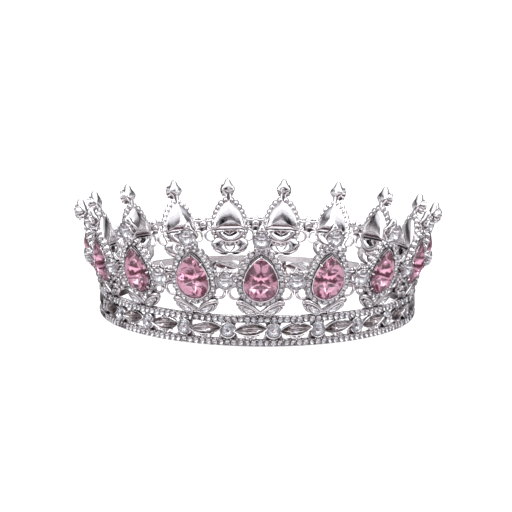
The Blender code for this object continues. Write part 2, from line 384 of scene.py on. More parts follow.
def arcs_point(s, radius, centre, side_radius, grow):
    """A point s mm up the right of a round end and the side arc above it, moved out by grow."""
    quarter = radius * math.pi / 2
    if s < quarter:
        a = s / radius - math.pi / 2
        return (radius + grow) * math.cos(a), centre + (radius + grow) * math.sin(a)
    a = (s - quarter) / side_radius
    return (
        radius - side_radius + (side_radius + grow) * math.cos(a),
        centre + (side_radius + grow) * math.sin(a),
    )


def halo_point(s, grow=0.0):
    """On the line of the halo's stones, s mm from its lowest point, negative on the left."""
    x, y = arcs_point(abs(s), HALO_RADIUS, HALO_CENTRE, HALO_SIDE, grow)
    return math.copysign(x, s) if s else 0.0, y


def halo_places():
    """Where the halo's stones stand, from the lowest one up both sides to the pair under the neck."""
    reach = range(-HALO_STONES_EACH_SIDE, HALO_STONES_EACH_SIDE + 1)
    round_pear = [halo_point(i * HALO_SPACING) for i in reach]
    x, y = SHOULDER_STONE
    return [*round_pear, (x, y), (-x, y)]


def scalloped(places, radius, centre, count):
    """The outer outline of circles that stand round a centre, at even angles."""
    turns = np.linspace(-math.pi / 2, 3 * math.pi / 2, count, endpoint=False)
    heading = np.column_stack([np.cos(turns), np.sin(turns)])
    away = np.asarray(places) - np.asarray(centre)
    along = heading @ away.T
    aside = (away**2).sum(1)[None, :] - along**2
    reach = np.where(aside < radius**2, along + np.sqrt(np.maximum(radius**2 - aside, 0)), 0)
    return np.asarray(centre) + heading * reach.max(1)[:, None]


def pear_side_radius():
    """The radius of the arc from the pear's widest point to its tip."""
    reach = PEAR_LENGTH - PEAR_HALF
    return PEAR_HALF + (reach**2 - PEAR_HALF**2) / (2 * PEAR_HALF)


def pear_half_length():
    """The length of one side of the pear's outline, from its lowest point to its tip."""
    side = pear_side_radius()
    return PEAR_HALF * math.pi / 2 + side * math.asin((PEAR_LENGTH - PEAR_HALF) / side)


def pear_outline(count, grow=0.0):
    """A pear stone's outline from its lowest point, counterclockwise, with a point at its tip."""
    side = pear_side_radius()
    half = pear_half_length()
    right = [
        arcs_point(half * 2 * i / count, PEAR_HALF, PEAR_CENTRE, side, grow)
        for i in range(count // 2)
    ]
    offset = side - PEAR_HALF
    top = PEAR_CENTRE + math.sqrt((side + grow) ** 2 - offset**2)
    left = [(-x, y) for x, y in reversed(right[1:])]
    return np.array([*right, (0, top), *left])


def marquise_outline(length, width, count=16):
    """Two equal arcs that meet in a point at each end."""
    radius = (length**2 + width**2) / (4 * width)
    half = math.asin(length / 2 / radius)
    a = np.linspace(-half, half, count // 2, endpoint=False)
    lower = np.column_stack([radius * np.sin(a), radius - width / 2 - radius * np.cos(a)])
    return np.vstack([lower, -lower])


# ---------------------------------------------------------------- stones


def brilliant(girdle, centre, levels, table, mid=0.8, low=0.5):
    """A faceted stone on a girdle of an even number of points, with a table and a pointed back.

    levels are the heights of the back's point, the girdle and the table. table, mid and low are the
    shares of the girdle at the table, the kites and the lower halves. The result is the points, the
    faces of the cut front and those of the foiled back, which share their girdle.
    """
    back, waist, face = levels
    fold = len(girdle) // 2
    half_step = math.cos(math.pi / fold)
    edge = 0.03 * (face - back)
    crown, depth = face - waist, waist - edge - back
    mid_height = waist + crown * (1 - (mid * half_step - table) / (1 - table))
    low_height = waist - edge - depth * (1 - low * half_step)
    even, odd = girdle[0::2], girdle[1::2]
    points = np.vstack(
        [
            raised(scaled(even, table, centre), face),
            raised(scaled(odd, mid, centre), mid_height),
            raised(girdle, waist),
            raised(girdle, waist - edge),
            raised(scaled(odd, low, centre), low_height),
            [(*centre, back)],
        ]
    )
    kites, rim, under, lower, culet = fold, 2 * fold, 4 * fold, 6 * fold, 7 * fold
    front = [tuple(range(fold))]
    foiled = []
    for i in range(fold):
        j, before = (i + 1) % fold, (i - 1) % fold
        here, middle, after = 2 * i, 2 * i + 1, (2 * i + 2) % (2 * fold)
        front += [
            (i, kites + i, j),
            (i, kites + before, rim + here, kites + i),
            (kites + i, rim + here, rim + middle),
            (kites + i, rim + middle, rim + after),
            (rim + here, under + here, under + middle, rim + middle),
            (rim + middle, under + middle, under + after, rim + after),
        ]
        foiled += [
            (under + here, lower + i, under + middle),
            (under + middle, lower + i, under + after),
            (under + here, lower + before, culet, lower + i),
        ]
    return points, front, foiled


def chaton(centre, radius, levels):
    """A small round stone with a twisted row of facets; each stands a little differently in its seat."""
    back, waist, face = levels
    outer, edge = circle(radius, 8), 0.06
    step = math.pi / 8
    turn = np.array([[math.cos(step), math.sin(step)], [-math.sin(step), math.cos(step)]])
    table = raised(outer @ turn * 0.58, face)
    points = np.vstack([table, raised(outer, waist), raised(outer, waist - edge), [(0, 0, back)]])
    front = [tuple(range(8))]
    foiled = []
    for i in range(8):
        j = (i + 1) % 8
        front += [
            (i, 8 + i, 8 + j),
            (i, 8 + j, j),
            (8 + i, 16 + i, 16 + j, 8 + j),
        ]
        foiled.append((16 + i, 24, 16 + j))
    spin, lean = CHANCE.uniform(0, math.pi / 4), CHANCE.uniform(0, 2 * math.pi)
    tilt = Matrix.Rotation(STONE_TILT * CHANCE.random(), 4, (math.cos(lean), math.sin(lean), 0))
    at_waist = Matrix.Translation((0, 0, waist))
    turned_stone = at_waist @ tilt @ Matrix.Rotation(spin, 4, "Z") @ at_waist.inverted()
    return moved_stone((points, front, foiled), Matrix.Translation((*centre, 0)) @ turned_stone)


# ---------------------------------------------------------------- materials


def new_material(name):
    made = bpy.data.materials.new(name)
    made.use_nodes = True
    nodes, links = made.node_tree.nodes, made.node_tree.links
    return made, nodes, links, nodes["Principled BSDF"]


def noise(nodes, links, scale, detail=3.0, space="Object"):
    """Noise, as a rule in the piece's own metres."""
    place = nodes.new("ShaderNodeTexCoord")
    made = nodes.new("ShaderNodeTexNoise")
    made.inputs["Scale"].default_value = scale
    made.inputs["Detail"].default_value = detail
    links.new(place.outputs[space], made.inputs["Vector"])
    return made.outputs["Fac"]


def ramp(nodes, links, source, low, high):
    """A colour that runs from low to high with the source."""
    made = nodes.new("ShaderNodeValToRGB")
    made.color_ramp.elements[0].position = 0.3
    made.color_ramp.elements[1].position = 0.7
    made.color_ramp.elements[0].color = (*low, 1)
    made.color_ramp.elements[1].color = (*high, 1)
    links.new(source, made.inputs["Fac"])
    return made.outputs["Color"]


def spread(nodes, links, source, low, high, start=0.3, end=0.7):
    """A number that runs from low to high as the source runs from start to end."""
    made = nodes.new("ShaderNodeMapRange")
    made.inputs["From Min"].default_value = start
    made.inputs["From Max"].default_value = end
    made.inputs["To Min"].default_value = low
    made.inputs["To Max"].default_value = high
    links.new(source, made.inputs["Value"])
    return made.outputs["Result"]


def silver():
    """Bright plating over a casting: faint clouding, painted shade in its recesses, and the skin that
    casting leaves.
    """
    made, nodes, links, shader = new_material("silver_plate")
    shader.inputs["Metallic"].default_value = 1.0
    tint = ramp(nodes, links, noise(nodes, links, 260), (0.77, 0.75, 0.765), (0.89, 0.87, 0.885))
    recess = nodes.new("ShaderNodeAmbientOcclusion")
    recess.samples = 6
    recess.inputs["Distance"].default_value = RECESS_REACH
    # painted shade: the plating's colour is mixed toward a dark tone wherever ambient occlusion finds
    # neighbours close, standing in for the shade that falls between stones and parts
    painted_recess_shade = nodes.new("ShaderNodeMix")
    painted_recess_shade.data_type = "RGBA"
    painted_recess_shade.inputs["A"].default_value = (0.10, 0.07, 0.08, 1)
    openness = spread(nodes, links, recess.outputs["AO"], 0.0, 1.0, 0.25, 0.75)
    links.new(openness, painted_recess_shade.inputs["Factor"])
    links.new(tint, painted_recess_shade.inputs["B"])
    links.new(painted_recess_shade.outputs["Result"], shader.inputs["Base Color"])
    wear = spread(nodes, links, noise(nodes, links, 900, 2.0), 0.07, 0.2)
    links.new(wear, shader.inputs["Roughness"])
    skin = nodes.new("ShaderNodeBump")
    skin.inputs["Strength"].default_value = 0.25
    skin.inputs["Distance"].default_value = 0.00008
    links.new(noise(nodes, links, 1600, 2.0), skin.inputs["Height"])
    links.new(skin.outputs["Normal"], shader.inputs["Normal"])
    return made


def mirror_foil(name, low, high, metallic):
    """The silvered back of a stone, which drifts in tone; what isn't metallic scatters like lacquer."""
    made, nodes, links, shader = new_material(name)
    shader.inputs["Metallic"].default_value = metallic
    shader.inputs["Roughness"].default_value = 0.06
    tone = ramp(nodes, links, noise(nodes, links, 500), low, high)
    links.new(tone, shader.inputs["Base Color"])
    return made


def crystal(name, low, high, ior):
    """Cut crystal; its tint drifts a little from stone to stone."""
    made, nodes, links, shader = new_material(name)
    shader.inputs["Transmission Weight"].default_value = 1.0
    shader.inputs["IOR"].default_value = ior
    shader.inputs["Roughness"].default_value = 0.01
    drift = ramp(nodes, links, noise(nodes, links, 340, 1.0), low, high)
    links.new(drift, shader.inputs["Base Color"])
    return made


SILVER = silver()
CLEAR_FOIL = mirror_foil("clear_foil", (0.92, 0.92, 0.95), (0.99, 0.99, 1.0), 0.74)
SMOKE_FOIL = mirror_foil("smoke_foil", (0.36, 0.31, 0.31), (0.72, 0.68, 0.68), 1.0)
ROSE_FOIL = mirror_foil("rose_foil", (0.92, 0.88, 0.90), (0.98, 0.95, 0.96), 0.9)
CLEAR = crystal("clear_crystal", (0.93, 0.96, 1.0), (1.0, 0.99, 0.98), 1.58)
ROSE = crystal("rose_crystal", (0.91, 0.47, 0.62), (0.96, 0.57, 0.71), 1.56)


# ---------------------------------------------------------------- pieces


def make_mesh(name, groups, weld=False):
    """One mesh in metres from groups of (shapes, material, smooth)."""
    points, faces, slots, smooth = [], [], [], []
    base = 0
    for slot, (shapes, _, rounded) in enumerate(groups):
        for shape_points, shape_faces in shapes:
            points.append(np.asarray(shape_points, float))
            faces += [tuple(base + i for i in face) for face in shape_faces]
            slots += [slot] * len(shape_faces)
            smooth += [rounded] * len(shape_faces)
            base += len(shape_points)
    mesh = bpy.data.meshes.new(name)
    mesh.from_pydata((np.vstack(points) * MM).tolist(), [], faces)
    for _, material, _ in groups:
        mesh.materials.append(material)
    mesh.polygons.foreach_set("material_index", slots)
    mesh.polygons.foreach_set("use_smooth", smooth)
    work = bmesh.new()
    work.from_mesh(mesh)
    if weld:
        bmesh.ops.remove_doubles(work, verts=work.verts, dist=WELD)
    bmesh.ops.recalc_face_normals(work, faces=work.faces)
    work.to_mesh(mesh)
    work.free()
    mesh.set_sharp_from_angle(angle=SHARP_EDGE)
    return mesh


def stone_mesh(name, stones, glass, back):
    """Stones as one mesh: each a closed body with a glass front and a foiled back."""
    fronts = [(points, front) for points, front, _ in stones]
    backs = [(points, foiled) for points, _, foiled in stones]
    return make_mesh(name, [(fronts, glass, False), (backs, back, False)], weld=True)


def add_piece(name, mesh, replaced, matrix):
    """A piece with its own copy of the mesh, moved to its place on the crown."""
    mesh = mesh.copy()
    mesh.transform(matrix)
    piece = bpy.data.objects.new(name, mesh)
    bpy.context.scene.collection.objects.link(piece)
    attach(piece, "root")
    for node in replaced:
        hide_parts(node)
    return piece


def station(angle, radius=PANEL_RADIUS):
    """Where a panel stands, in metres: X along the crown's edge, Y up the leaning panel, Z outward."""
    turn = Matrix.Rotation(angle, 4, "Z")
    lean = Matrix.Rotation(math.pi / 2 + LEAN, 4, "X")
    return turn @ Matrix.Translation((0, -radius * MM, FOOT_HEIGHT * MM)) @ lean


def settled(centre, unit=1.0):
    """A small random tilt about a stone's centre in mm; unit is MM where the matrix is in metres."""
    lean = CHANCE.uniform(0, 2 * math.pi)
    tilt = Matrix.Rotation(GEM_TILT * CHANCE.random(), 4, (math.cos(lean), math.sin(lean), 0))
    there = Matrix.Translation(Vector(centre) * unit)
    return there @ tilt @ there.inverted()


def halo_flange():
    """The scalloped plate under the halo, with the pear stone's opening."""
    steps = 300
    outer = scalloped(halo_places(), FLANGE_SCALLOP, FLANGE_MIDDLE, steps)
    inner = rays(pear_outline(240, 0.1), FLANGE_MIDDLE, steps)
    inner = np.roll(inner, -steps // 4, axis=0)  # both start at the bottom
    return frame_shape(outer, inner, *FLANGE, 0.14)


def dish():
    """The smooth shell behind the pear stone, open below like a pocket."""
    dense = pear_outline(400, DISH_GROW)
    kept = dense[dense[:, 1] >= EYE_TOP]
    half = abs(kept[kept[:, 1].argmin()][0])
    bottom = np.column_stack([np.linspace(-half, half, 60), np.full(60, EYE_TOP)])
    outline = rays(np.vstack([kept, bottom]), DISH_MIDDLE, 96)
    outer, inner = [], []
    for share in (0.15, 0.3, 0.45, 0.6, 0.72, 0.82, 0.9, 0.96, 1.0):
        bulge = (1 - share**2.4) ** 0.55
        for rings, part, depth in ((outer, 1.0, DISH_DEPTH), (inner, 0.95, DISH_DEPTH - DISH_WALL)):
            rings.append(raised(scaled(outline, share * part, DISH_MIDDLE), DISH_RIM - depth * bulge))
    back = DISH_RIM - DISH_DEPTH
    return loft([*outer, *reversed(inner)], (*DISH_MIDDLE, back), (*DISH_MIDDLE, back + DISH_WALL))


def eye_plate():
    """The domed plate below the dish, with an eye-shaped opening, and the wall round it."""
    dense = pear_outline(400, 0.9)
    kept = dense[dense[:, 1] <= EYE_TOP + 0.2]
    half = abs(kept[kept[:, 1].argmax()][0])
    top = np.column_stack([np.linspace(-half, half, 60), np.full(60, EYE_TOP + 0.2)])
    outer = rays(np.vstack([kept, top]), EYE_MIDDLE, 64)
    x = np.linspace(-EYE_HALF, EYE_HALF, 60)
    arch = np.column_stack([x, EYE_ARCH[0] + EYE_ARCH[1] * np.sqrt(1 - (x / EYE_HALF) ** 2)])
    vee = np.column_stack([x, EYE_VEE[0] + EYE_VEE[1] * np.abs(x / EYE_HALF) ** 1.3])
    eye = rays(np.vstack([arch, vee]), EYE_MIDDLE, 64)
    back, front = EYE_PLATE
    rings = []
    for share in (0.0, 0.05, 0.15, 0.3, 0.45, 0.6, 0.75, 0.88, 0.96, 1.0):
        bulge = EYE_DOME * math.sin(math.pi * share) ** 0.7 if 0 < share < 1 else 0
        rings.append(raised(eye + (outer - eye) * share, back - bulge))
    rings += [raised(outer, front), raised(eye, front)]
    wall = frame_shape(outer, scaled(outer, 0.88, EYE_MIDDLE), back, DISH_RIM, 0.15)
    return [cyclic(rings), wall]


def shield():
    """The smooth back of the foot, domed between its rim and its heart-shaped opening."""
    rim = mirrored_outline(
        [(5.0, 0.1), (7.4, 1.6), (8.8, 3.7), (8.9, 5.4), (7.6, 6.9), (6.3, 7.7), (4.0, 8.1), (0, 7.8)]
    )
    heart = mirrored_outline(
        [(0, 0.9), (1.3, 2.2), (2.3, 3.3), (2.45, 4.2), (1.7, 4.9), (0.7, 4.7), (0, 4.1)]
    )
    outer = rays(resampled(rim, 300), SHIELD_MIDDLE, 96)
    inner = rays(resampled(heart, 300), SHIELD_MIDDLE, 96)
    rings = []
    for share in (1.0, 0.96, 0.88, 0.76, 0.62, 0.48, 0.34, 0.2, 0.08, 0.0):
        bulge = SHIELD_DEPTH * math.sin(math.pi * share) ** 0.6 if 0 < share < 1 else 0
        rings.append(raised(inner + (outer - inner) * share, SHIELD_BACK - bulge))
    return cyclic([*rings, raised(inner, 0.1), raised(outer, 0.0)])


def pear_setting():
    """The bezel round the pear stone, its claws and the beaded line outside it."""
    outer, inner = pear_outline(96, 0.3), pear_outline(96, -0.12)
    shapes = [frame_shape(outer, inner, 0.3, PEAR_GIRDLE + 0.15, 0.1)]
    claws = pear_outline(CLAW_STEPS, 0.12)
    for i in CLAWS:
        x, y = claws[i]
        lean = np.array([x, y - PEAR_CENTRE])
        lean /= np.linalg.norm(lean)
        line = []
        for out, height in ((0.35, 0.6), (0.25, PEAR_GIRDLE), (-0.35, PEAR_GIRDLE + 0.55)):
            line.append((x + lean[0] * out, y + lean[1] * out, height))
        across = (-lean[1], lean[0], 0)
        shapes.append(sweep(smooth_line(line, 7), (0.42, 0.38, 0.25), 8, up=across))
    beaded = resampled(pear_outline(300, 0.62), 84)
    shapes += [bead((x, y, FLANGE[1] + 0.4), 0.3) for x, y in beaded]
    return shapes


def small_cup(centre, radius, height, depth):
    """A collar with a pointed seat for a small stone, and its domed back, depth below its rim."""
    return turned(
        [
            (0, height - depth),
            (radius * 0.55, height - depth + 0.08),
            (radius * 0.95, height - depth + 0.45),
            (radius + 0.14, height - 0.9),
            (radius + 0.2, height - 0.1),
            (radius + 0.08, height + 0.08),
            (radius - 0.06, height + 0.02),
            (radius - 0.1, height - 0.1),
            (0, height - 0.75),
        ],
        centre,
        14,
    )


def halo_metal():
    """Collars for the halo's stones, with a bead on each side between neighbours."""
    shapes = [small_cup(place, HALO_STONE, HALO_GIRDLE, 2.2) for place in halo_places()]
    for i in range(-HALO_STONES_EACH_SIDE, HALO_STONES_EACH_SIDE):
        for grow in HALO_BEAD_ROWS:
            x, y = halo_point((i + 0.5) * HALO_SPACING, grow)
            shapes.append(bead((x, y, HALO_GIRDLE), HALO_BEAD))
    return shapes


def halo_stones():
    levels = (HALO_GIRDLE - 0.62, HALO_GIRDLE, HALO_GIRDLE + 0.5)
    return [chaton(place, HALO_STONE - STONE_PLAY, levels) for place in halo_places()]


def cup(centre):
    """A flared cup with a pointed seat for one of the large round stones."""
    rim = ROUND_STONE + 0.38
    return turned(
        [
            (0, -1.35),
            (0.9, -1.2),
            (1.7, -0.75),
            (2.2, 0.1),
            (2.6, 1.1),
            (3.0, 1.9),
            (rim - 0.1, CUP_RIM - 0.6),
            (rim, CUP_RIM - 0.2),
            (rim - 0.08, CUP_RIM + 0.08),
            (rim - 0.24, CUP_RIM + 0.1),
            (ROUND_STONE + 0.02, CUP_RIM - 0.12),
            (ROUND_STONE - 0.12, CUP_RIM - 0.3),
            (1.5, 1.6),
            (0, 0.7),
        ],
        centre,
        32,
    )


def cup_claws(centre):
    """Four claws over a large round stone."""
    shapes = []
    for turn in (45, 135, 225, 315):
        x, y = math.cos(math.radians(turn)), math.sin(math.radians(turn))
        line = []
        for radius, height in ((3.5, 2.0), (3.5, CUP_RIM), (3.05, CUP_RIM + 0.45)):
            line.append((centre[0] + radius * x, centre[1] + radius * y, height))
        shapes.append(sweep(smooth_line(line, 7), (0.36, 0.4, 0.28), 8, up=(-y, x, 0)))
    return shapes


def finial_metal():
    """The neck, the drop with its rounded point, and the cup."""
    neck = column(
        [
            (24.6, 2.2, 0.7, 0.0),
            (25.8, 1.9, 0.85, 0.05),
            (27.0, 1.6, 0.95, 0.1),
            (28.4, 1.55, 1.05, 0.2),
            (29.6, 1.9, 1.3, 0.4),
        ]
    )
    drop = column(
        [
            (28.6, 1.5, 1.0, 0.3),
            (29.4, 2.3, 1.35, 0.4),
            (30.4, 3.1, 1.2, 0.0),
            (31.3, 3.42, 0.9, -0.35),
            (32.2, 3.25, 1.2, -0.05),
            (33.1, 2.65, 1.5, 0.3),
            (34.0, 2.05, 1.7, 0.8),
            (34.9, 1.62, 1.65, 0.85),
            (35.7, 1.3, 1.4, 0.85),
            (36.3, 0.92, 1.0, 0.85),
            (36.6, 0.55, 0.6, 0.85),
        ],
        32,
    )
    return [neck, drop, cup((0, FINIAL_CENTRE)), *cup_claws((0, FINIAL_CENTRE))]


def leaf_metal():
    """One leaf of the foot on the right: its plate, its rolled upper edge and its lower rim."""
    plate_line = [
        (0, 0.05),
        (4.9, 0.05),
        (7.6, 1.7),
        (8.8, 3.6),
        (8.7, 5.3),
        (7.4, 6.9),
        (3.1, 6.0),
        (2.75, 4.6),
        (2.8, 3.6),
        (0, 1.0),
    ]
    plate = pillow(resampled(plate_line, 60), -0.65, 0.35, 0.2)
    roll_line = [
        (0.1, 0.5, 0.55),
        (2.0, 1.9, 0.7),
        (4.2, 3.7, 0.8),
        (6.6, 4.9, 0.75),
        (8.3, 5.0, 0.5),
        (8.7, 3.9, 0.3),
    ]
    roll = smooth_line(roll_line, 22)
    rim = smooth_line([(4.6, 0.45, 0.35), (6.6, 1.3, 0.45), (8.2, 2.9, 0.4)], 9)
    crease = smooth_line([(1.6, 2.5, 0.6), (3.4, 4.4, 0.7), (5.6, 6.0, 0.5)], 9)
    return [
        plate,
        sweep(roll, (0.45, 0.7, 0.95, 1.25, 1.0, 0.55), 14, 0.8),
        sweep(rim, (0.4, 0.55, 0.5), 10),
        sweep(crease, (0.3, 0.42, 0.3), 8),
    ]


def leaf_setting():
    """The bezel round a leaf's marquise stone."""
    outline = marquise_outline(*LEAF_STONE, 48)
    ring = frame_shape(grown(outline, 0.35), grown(outline, -0.02), 0.1, 1.15, 0.12)
    return moved(ring, LEAF_SEAT)


def leaf_stone():
    gem = brilliant(marquise_outline(*LEAF_STONE, 16), (0, 0), (0.2, 1.05, 1.75), 0.5)
    return moved_stone(gem, LEAF_SEAT)


def scroll():
    """A C scroll from a leaf's tip round to a curl behind the halo's edge."""
    line = []
    start, end = SCROLL_SWEEP
    x, y = SCROLL_CENTRE
    for degrees in range(start, end, 12):
        t = (degrees - start) / (end - start)
        radius = SCROLL_RADIUS - SCROLL_CURL * max(t - 0.62, 0) / 0.38
        a = math.radians(degrees)
        line.append((x + radius * math.cos(a), y + radius * math.sin(a), 0))
    return [sweep(line, (0.5, 0.62, 0.66, 0.6, 0.5, 0.42), 12, 0.95), bead(line[-1], 0.62)]


def link_metal():
    """The joint between two panels: cup, bridges, ring holes and spike, in the link's own plane."""
    centre = (0, LINK_CENTRE)
    shapes = [cup(centre), *cup_claws(centre)]
    spike = column(
        [
            (16.9, 1.9, 0.8, -0.1),
            (17.6, 1.45, 0.85, 0.0),
            (18.3, 0.95, 0.75, 0.05),
            (19.0, 0.5, 0.5, 0.05),
            (19.4, 0.22, 0.22, 0.05),
        ],
        20,
    )
    shapes.append(spike)
    bar = [(x, y, -0.5) for x, y in ((-5.0, 16.4), (-2.4, 15.9), (0, 16.3), (2.4, 15.9), (5.0, 16.4))]
    shapes.append(sweep(smooth_line(bar, 21), (0.6, 0.7, 0.75, 0.7, 0.6), 12))
    for x, y, radius in ((1.75, 17.25, 0.62), (3.05, 17.0, 0.6), (4.3, 17.1, 0.62)):
        shapes += both_sides([bead(np.array((x, y, -0.3)), radius)])
    foot = smooth_line([(2.6, 13.0, -0.4), (3.6, 12.2, -0.4), (3.9, 11.0, -0.4)], 9)
    shapes += both_sides([sweep(foot, (0.6, 0.55, 0.5), 10)])
    hole = [(1.25, -0.25), (1.25, 0.25), (0.8, 0.35), (0.8, -0.35)]
    shapes += both_sides([ring_shape(hole, (3.9, 13.6), 20)])
    return shapes


def crest_casting():
    """All the metal of one panel, with the joint to the next panel on its right."""
    to_link = station(0).inverted() @ station(HALF_PITCH, LINK_RADIUS)
    to_link.translation /= MM
    shapes = [halo_flange(), dish(), *eye_plate(), shield()]
    shapes += [*pear_setting(), *halo_metal(), *finial_metal()]
    shapes += both_sides([*leaf_metal(), leaf_setting(), *scroll()])
    shapes += [moved(shape, to_link) for shape in link_metal()]
    return make_mesh("crest_casting", [(shapes, SILVER, True)])


def round_gem(centre, levels):
    return brilliant(circle(ROUND_STONE, 24, centre), centre, levels, *ROUND_CUT)


def pear_gem():
    return brilliant(pear_outline(12), (0, PEAR_CULET), PEAR_LEVELS, *PEAR_CUT)


def build_panels():
    """Seventeen panels, each a casting and its stones."""
    finial = round_gem((0, FINIAL_CENTRE), FINIAL_LEVELS)
    link = round_gem((0, LINK_CENTRE), LINK_LEVELS)
    leaf = leaf_stone()
    leaves = [leaf, (leaf[0] * (-1, 1, 1), leaf[1], leaf[2])]
    meshes = {
        "casting": crest_casting(),
        "pear": stone_mesh("pear_gem", [pear_gem()], ROSE, ROSE_FOIL),
        "finial": stone_mesh("finial_gem", [finial], CLEAR, CLEAR_FOIL),
        "link": stone_mesh("link_gem", [link], CLEAR, CLEAR_FOIL),
        "halo": stone_mesh("halo_gems", halo_stones(), CLEAR, CLEAR_FOIL),
        "leaf": stone_mesh("leaf_gems", leaves, CLEAR, CLEAR_FOIL),
    }
    centres = {
        "pear": (0, PEAR_CULET, PEAR_GIRDLE),
        "finial": (0, FINIAL_CENTRE, CUP_RIM),
        "link": (0, LINK_CENTRE, CUP_RIM),
    }
    for i in range(PANELS):
        angle = 2 * HALF_PITCH * i
        here, between = station(angle), station(angle + HALF_PITCH, LINK_RADIUS)
        number = f"{i + 1:02d}"
        sit = {key: settled(centre, MM) for key, centre in centres.items()}
        pear, finial, link = here @ sit["pear"], here @ sit["finial"], between @ sit["link"]
        rows = (
            ("crest_casting", "casting", "silver_plate", ["crest_panel_" + number], here),
            ("pear_gem", "pear", "rose_crystal", ["pear_stone_" + number], pear),
            ("finial_gem", "finial", "clear_crystal", ["finial_stone_" + number], finial),
            ("link_gem", "link", "clear_crystal", [], link),
            ("halo_gems", "halo", "clear_crystal", [], here),
            ("leaf_gems", "leaf", "clear_crystal", [], here),
        )
        for name, key, slot, replaced, matrix in rows:
            add_piece(f"{name}_{number}", meshes[key], replaced, matrix)


# ---------------------------------------------------------------- the band


def on_band(shape, angle, height):
    """Stands a shape, drawn face up, on the band: its X along the band, Y up, Z outward from the axis."""
    stand = Matrix.Rotation(math.pi / 2, 4, "X")
    matrix = Matrix.Rotation(angle, 4, "Z") @ Matrix.Translation((0, 0, height)) @ stand
    if len(shape) > 2:
        return moved_stone(shape, matrix)
    return moved(shape, matrix)


def rail(low):
    """One rail, with its edges rounded."""
    high = low + RAIL_HEIGHT
    strip = [
        (BAND_INNER + 0.25, low),
        (RAIL_BACK - 0.5, low),
        (RAIL_BACK - 0.1, low + 0.3),
        (RAIL_BACK - 0.1, high - 0.3),
        (RAIL_BACK - 0.5, high),
        (BAND_INNER + 0.25, high),
        (BAND_INNER, high - 0.25),
        (BAND_INNER, low + 0.25),
    ]
    return ring_shape(strip, (0, 0), 2 * RAIL_STONES)


def chain_parts(middle):
    """Collars, beads and stones of one rhinestone chain."""
    metal, stones = [], []
    collar = small_cup((0, 0), RAIL_STONE - 0.06, RAIL_GIRDLE, 1.2)
    levels = (RAIL_GIRDLE - 0.65, RAIL_GIRDLE, STONE_FACE)
    grains = [bead(np.array((0, y, RAIL_GIRDLE)), 0.3) for y in (-1.1, 1.1)]
    for i in range(RAIL_STONES):
        angle = 2 * math.pi * i / RAIL_STONES
        metal.append(on_band(collar, angle, middle))
        stones.append(on_band(chaton((0, 0), RAIL_STONE - STONE_PLAY, levels), angle, middle))
        half = angle + math.pi / RAIL_STONES
        metal += [on_band(grain, half, middle) for grain in grains]
    return metal, stones


def band_round_seat():
    """The cup of a round stone, its rim level with the stone's girdle."""
    rim = BAND_GIRDLE
    back = BAND_INNER + 0.25
    return turned(
        [
            (0, back),
            (2.2, back),
            (2.7, back + 0.4),
            (BAND_STONE + 0.42, rim - 0.4),
            (BAND_STONE + 0.4, rim + 0.02),
            (BAND_STONE + 0.2, rim + 0.14),
            (BAND_STONE + 0.02, rim + 0.02),
            (BAND_STONE - 0.1, rim - 0.15),
            (0, back + 0.2),
        ],
        (0, 0),
        28,
    )


def band_marquise_seat():
    """The cup of a marquise stone."""
    outline = marquise_outline(*BAND_MARQUISE, 64)
    rim = MARQUISE_RIM
    back = BAND_INNER + 0.2
    inset = grown(outline, -0.1)
    return loft(
        [
            raised(grown(outline, -0.3), back),
            raised(grown(outline, 0.3), back + 0.3),
            raised(grown(outline, 0.45), rim - 0.3),
            raised(grown(outline, 0.4), rim + 0.05),
            raised(grown(outline, 0.2), rim + 0.16),
            raised(outline, rim + 0.02),
            raised(inset, rim - 0.15),
            raised(scaled(outline, 0.4, (0, 0)), back + 0.6),
        ],
        None,
        (0, 0, back + 0.5),
    )


def band_backing():
    """The recessed plate behind a round stone, which spreads to both rails."""
    reach = BAND_TOP / 2 - RAIL_HEIGHT + 0.3
    right = [(0, -reach), (3.9, -reach), (3.1, -1.0), (3.3, 0.3), (2.6, 1.6), (3.2, reach), (0, reach)]
    outline = resampled(mirrored_outline(right), 60)
    return pillow(outline, BAND_INNER + 0.2, BAND_INNER + 0.9, 0.15)


def band_sprig():
    """Three small leaves that stand on a rail behind the edge of a marquise stone."""
    depth = RAIL_BACK - 0.3
    shapes = []
    for x, y, tip in ((0, 1.3, 0), (-1.8, 1.5, -3.24), (1.8, 1.5, 3.24)):
        line = [(x * 0.35, -0.6, depth), (x * 0.8, y * 0.4, depth + 0.1), (tip, y, depth)]
        shapes.append(sweep(smooth_line(line, 8), (0.6, 0.8, 0.25), 8))
    return shapes


def band_parts():
    """The seats, sprigs and stones of the band's middle row."""
    metal, rounds, marquises = [], [], []
    middle = BAND_TOP / 2
    seat, backing = band_round_seat(), band_backing()
    levels = (BAND_INNER + 0.6, BAND_GIRDLE, STONE_FACE)
    gem = brilliant(circle(BAND_STONE, 24), (0, 0), levels, *ROUND_CUT)
    long_seat = band_marquise_seat()
    levels = (BAND_INNER + 1.0, MARQUISE_RIM + 0.02, STONE_FACE)
    long_gem = brilliant(marquise_outline(*BAND_MARQUISE), (0, 0), levels, 0.42)
    tilt, flip = Matrix.Rotation(MARQUISE_TILT, 4, "Z"), Matrix.Rotation(math.pi, 4, "Z")
    sprig, waist = band_sprig(), (0, 0, MARQUISE_RIM)
    for i in range(REPEATS):
        angle = 2 * math.pi * i / REPEATS
        half = angle + math.pi / REPEATS
        metal += [on_band(seat, angle, middle), on_band(backing, angle, middle)]
        rounds.append(on_band(moved_stone(gem, settled(waist)), angle, middle))
        metal.append(on_band(moved(long_seat, tilt), half, middle + MARQUISE_RAISE))
        sitting = tilt @ settled(waist)
        marquises.append(on_band(moved_stone(long_gem, sitting), half, middle + MARQUISE_RAISE))
        metal += [on_band(leaf, half, RAIL_HEIGHT) for leaf in sprig]
        metal += [on_band(moved(leaf, flip), half, BAND_TOP - RAIL_HEIGHT) for leaf in sprig]
    return metal, rounds, marquises


